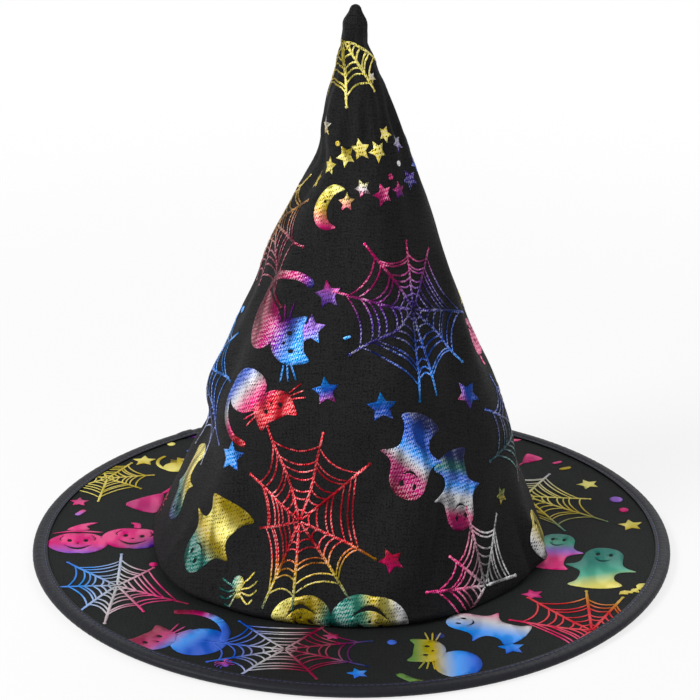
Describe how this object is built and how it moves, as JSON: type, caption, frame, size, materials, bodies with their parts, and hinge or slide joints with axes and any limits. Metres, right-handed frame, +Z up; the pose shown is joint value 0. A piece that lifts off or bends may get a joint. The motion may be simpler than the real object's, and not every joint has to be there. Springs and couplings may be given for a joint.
{
  "type": "witch hat",
  "caption": "Pointed costume hat: a soft stiffened cloth cone on a flat round brim with a bound, hooped edge, printed all over with shiny foil spooky shapes.",
  "frame": {"origin": "the middle of the brim's underside, on the surface that the hat lies on", "axes": "+Z up through the point of the cone, +X to the wearer's left, -Y towards the front, +Y towards the seam up the back"},
  "size_m": [0.34, 0.34, 0.298],
  "materials": {
    "printed_cloth": "black plain-weave polyester, matt with a fine sheen",
    "foil_print": "rainbow metal foil pressed onto the cloth, scattered over the weave",
    "backing_cloth": "plain black polyester, matt",
    "crown_stiffener": "black bonded non-woven",
    "brim_stiffener": "dense felted sheet",
    "binding_tape": "smooth blue-black bias tape",
    "binding_thread": "dark blue sewing thread",
    "thread": "black sewing thread",
    "overlock": "black textured overlock thread",
    "head_band_tape": "ribbed black grosgrain tape",
    "hoop_wire": "spring steel wire",
    "hoop_sleeve": "crimped brass sleeve"
  },
  "bodies": {
    "root": {"crown_shell": "printed_cloth", "crown_stiffener": "crown_stiffener", "back_seam_thread": "thread", "back_seam_overlock": "overlock", "brim_top": "printed_cloth", "brim_stiffener": "brim_stiffener", "brim_underside": "backing_cloth", "edge_binding": "binding_tape", "binding_needle_thread": "binding_thread", "binding_bobbin_thread": "binding_thread", "rim_hoop": "hoop_wire", "hoop_sleeve": "hoop_sleeve", "head_band": "head_band_tape", "head_band_thread": "thread", "crown_seam_thread": "thread", "seam_edge_overlock": "overlock"}
  },
  "joints": []
}
